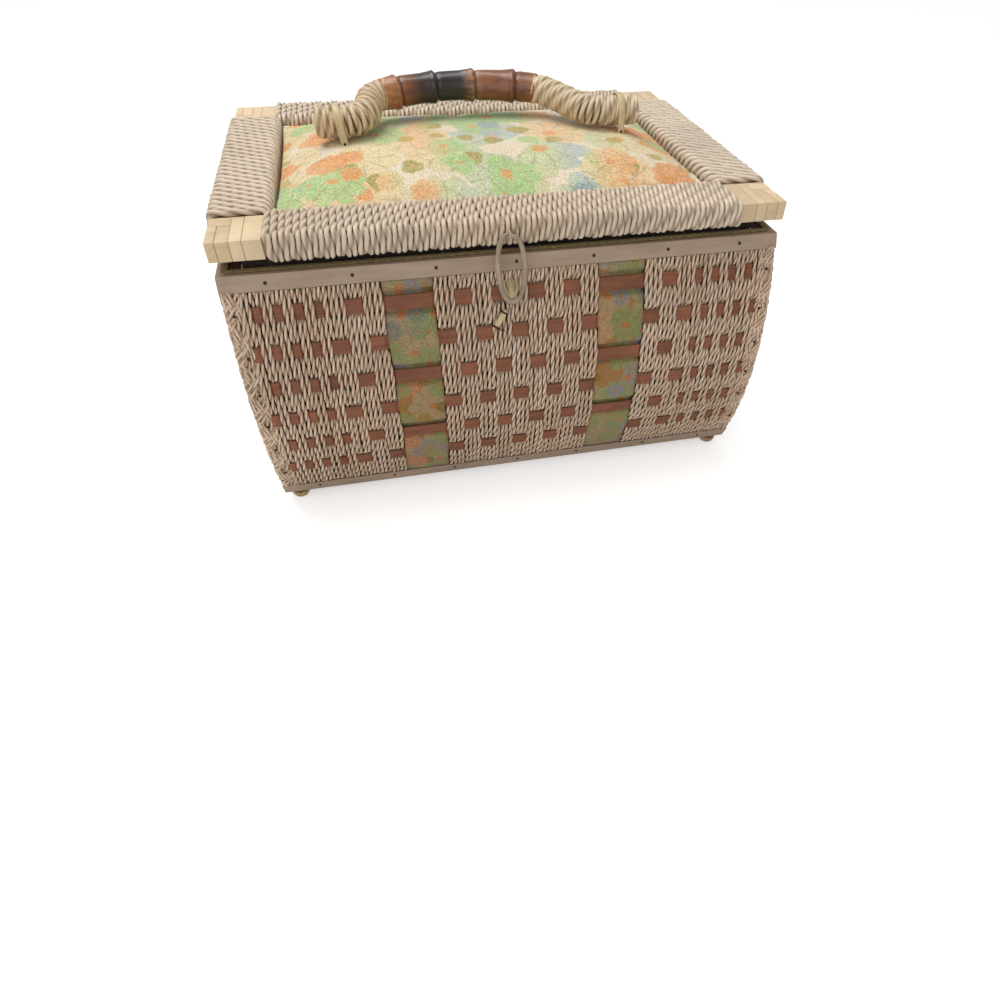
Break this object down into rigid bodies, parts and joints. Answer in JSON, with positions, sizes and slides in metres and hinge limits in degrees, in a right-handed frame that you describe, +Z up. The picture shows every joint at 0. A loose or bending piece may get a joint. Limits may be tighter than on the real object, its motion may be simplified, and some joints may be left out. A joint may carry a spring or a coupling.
{
  "type": "sewing basket",
  "caption": "Woven sewing basket with bulged corded walls, hinged corded lid with a padded cloth panel, folding bamboo handle, ring latch and sliding tray.",
  "frame": {"origin": "middle of the footprint, at the underside of the feet", "axes": "+X along the length of the basket, to the right seen from the front; +Z up; the latch side faces -Y"},
  "size_m": [0.3454, 0.2853, 0.236],
  "materials": {
    "base_board": "plain wood",
    "foot_front_left": "plain wood",
    "foot_front_right": "plain wood",
    "foot_back_left": "plain wood",
    "foot_back_right": "plain wood",
    "end_board_left": "plain wood",
    "end_board_right": "plain wood",
    "wall_board_front": "plain wood",
    "wall_board_back": "plain wood",
    "mat_front": "brown twisted paper cord",
    "mat_back": "brown twisted paper cord",
    "mat_left": "brown twisted paper cord",
    "mat_right": "brown twisted paper cord",
    "splint_1": "red-brown split wood",
    "splint_2": "red-brown split wood",
    "splint_3": "red-brown split wood",
    "splint_4": "red-brown split wood",
    "splint_5": "red-brown split wood",
    "splint_6": "red-brown split wood",
    "cloth_strip_front_left": "floral cotton, off-white ground",
    "cloth_strip_front_right": "floral cotton, off-white ground",
    "cloth_strip_back_left": "floral cotton, off-white ground",
    "cloth_strip_back_right": "floral cotton, off-white ground",
    "top_lath": "pale grey-brown lath",
    "bottom_lath": "pale grey-brown lath",
    "corner_braid_front_left": "brown twisted paper cord",
    "corner_braid_front_right": "brown twisted paper cord",
    "corner_braid_back_left": "brown twisted paper cord",
    "corner_braid_back_right": "brown twisted paper cord",
    "gimp_trim": "gold-brown flat braid",
    "collar": "dark stained wood",
    "lining": "cream lining cloth",
    "hinge_leaf_body_left": "yellow brass",
    "hinge_leaf_body_right": "yellow brass",
    "latch_staple": "pale cane",
    "tray": "cream moulded plastic",
    "latch_peg": "pale cane",
    "peg_string": "pale cane",
    "lid_frame": "plain wood",
    "winding_front": "cream twisted paper cord",
    "winding_back": "cream twisted paper cord",
    "winding_left": "cream twisted paper cord",
    "winding_right": "cream twisted paper cord",
    "corner_wrap_front_left": "pale flat reed",
    "corner_wrap_front_right": "pale flat reed",
    "corner_wrap_back_left": "pale flat reed",
    "corner_wrap_back_right": "pale flat reed",
    "lid_board": "plain wood",
    "lid_pad": "floral cotton, off-white ground",
    "lid_lining": "cream lining cloth",
    "handle_strap_left": "pale flat reed",
    "handle_strap_right": "pale flat reed",
    "ring_hanger": "pale cane",
    "hinge_leaf_lid_left": "yellow brass",
    "hinge_leaf_lid_right": "yellow brass",
    "handle_core": "plain wood",
    "handle_winding_left": "pale golden paper cord",
    "handle_winding_right": "pale golden paper cord",
    "bamboo_grip": "lacquered dark brown bamboo root",
    "latch_ring": "pale cane"
  },
  "bodies": {
    "basket": {"base_board": "base_board", "foot_front_left": "foot_front_left", "foot_front_right": "foot_front_right", "foot_back_left": "foot_back_left", "foot_back_right": "foot_back_right", "end_board_left": "end_board_left", "end_board_right": "end_board_right", "wall_board_front": "wall_board_front", "wall_board_back": "wall_board_back", "mat_front": "mat_front", "mat_back": "mat_back", "mat_left": "mat_left", "mat_right": "mat_right", "splint_1": "splint_1", "splint_2": "splint_2", "splint_3": "splint_3", "splint_4": "splint_4", "splint_5": "splint_5", "splint_6": "splint_6", "cloth_strip_front_left": "cloth_strip_front_left", "cloth_strip_front_right": "cloth_strip_front_right", "cloth_strip_back_left": "cloth_strip_back_left", "cloth_strip_back_right": "cloth_strip_back_right", "top_lath": "top_lath", "bottom_lath": "bottom_lath", "corner_braid_front_left": "corner_braid_front_left", "corner_braid_front_right": "corner_braid_front_right", "corner_braid_back_left": "corner_braid_back_left", "corner_braid_back_right": "corner_braid_back_right", "gimp_trim": "gimp_trim", "collar": "collar", "lining": "lining", "hinge_leaf_body_left": "hinge_leaf_body_left", "hinge_leaf_body_right": "hinge_leaf_body_right", "latch_staple": "latch_staple"},
    "tray": {"tray": "tray"},
    "peg": {"latch_peg": "latch_peg", "peg_string": "peg_string"},
    "lid": {"lid_frame": "lid_frame", "winding_front": "winding_front", "winding_back": "winding_back", "winding_left": "winding_left", "winding_right": "winding_right", "corner_wrap_front_left": "corner_wrap_front_left", "corner_wrap_front_right": "corner_wrap_front_right", "corner_wrap_back_left": "corner_wrap_back_left", "corner_wrap_back_right": "corner_wrap_back_right", "lid_board": "lid_board", "lid_pad": "lid_pad", "lid_lining": "lid_lining", "handle_strap_left": "handle_strap_left", "handle_strap_right": "handle_strap_right", "ring_hanger": "ring_hanger", "hinge_leaf_lid_left": "hinge_leaf_lid_left", "hinge_leaf_lid_right": "hinge_leaf_lid_right"},
    "handle": {"handle_core": "handle_core", "handle_winding_left": "handle_winding_left", "handle_winding_right": "handle_winding_right", "bamboo_grip": "bamboo_grip"},
    "ring": {"latch_ring": "latch_ring"}
  },
  "joints": [
    {"name": "lid_hinge", "type": "hinge", "parent": "basket", "child": "lid", "pos_m": [0, 0.12792, 0.1806], "axis": [-1, 0, 0], "range_deg": [0, 100]},
    {"name": "handle_swing", "type": "hinge", "parent": "lid", "child": "handle", "pos_m": [0, 0.00092, 0.2175], "axis": [1, 0, 0], "range_deg": [0, 156]},
    {"name": "ring_swing", "type": "hinge", "parent": "lid", "child": "ring", "pos_m": [-0.005, -0.13298, 0.191], "axis": [-1, 0, 0], "range_deg": [0, 100]},
    {"name": "peg_swing", "type": "hinge", "parent": "basket", "child": "peg", "pos_m": [-0.009, -0.13273, 0.16], "axis": [0, 1, 0], "range_deg": [-10, 45]},
    {"name": "tray_slide", "type": "slide", "parent": "basket", "child": "tray", "axis": [1, 0, 0], "range_m": [0, 0.087]}
  ]
}
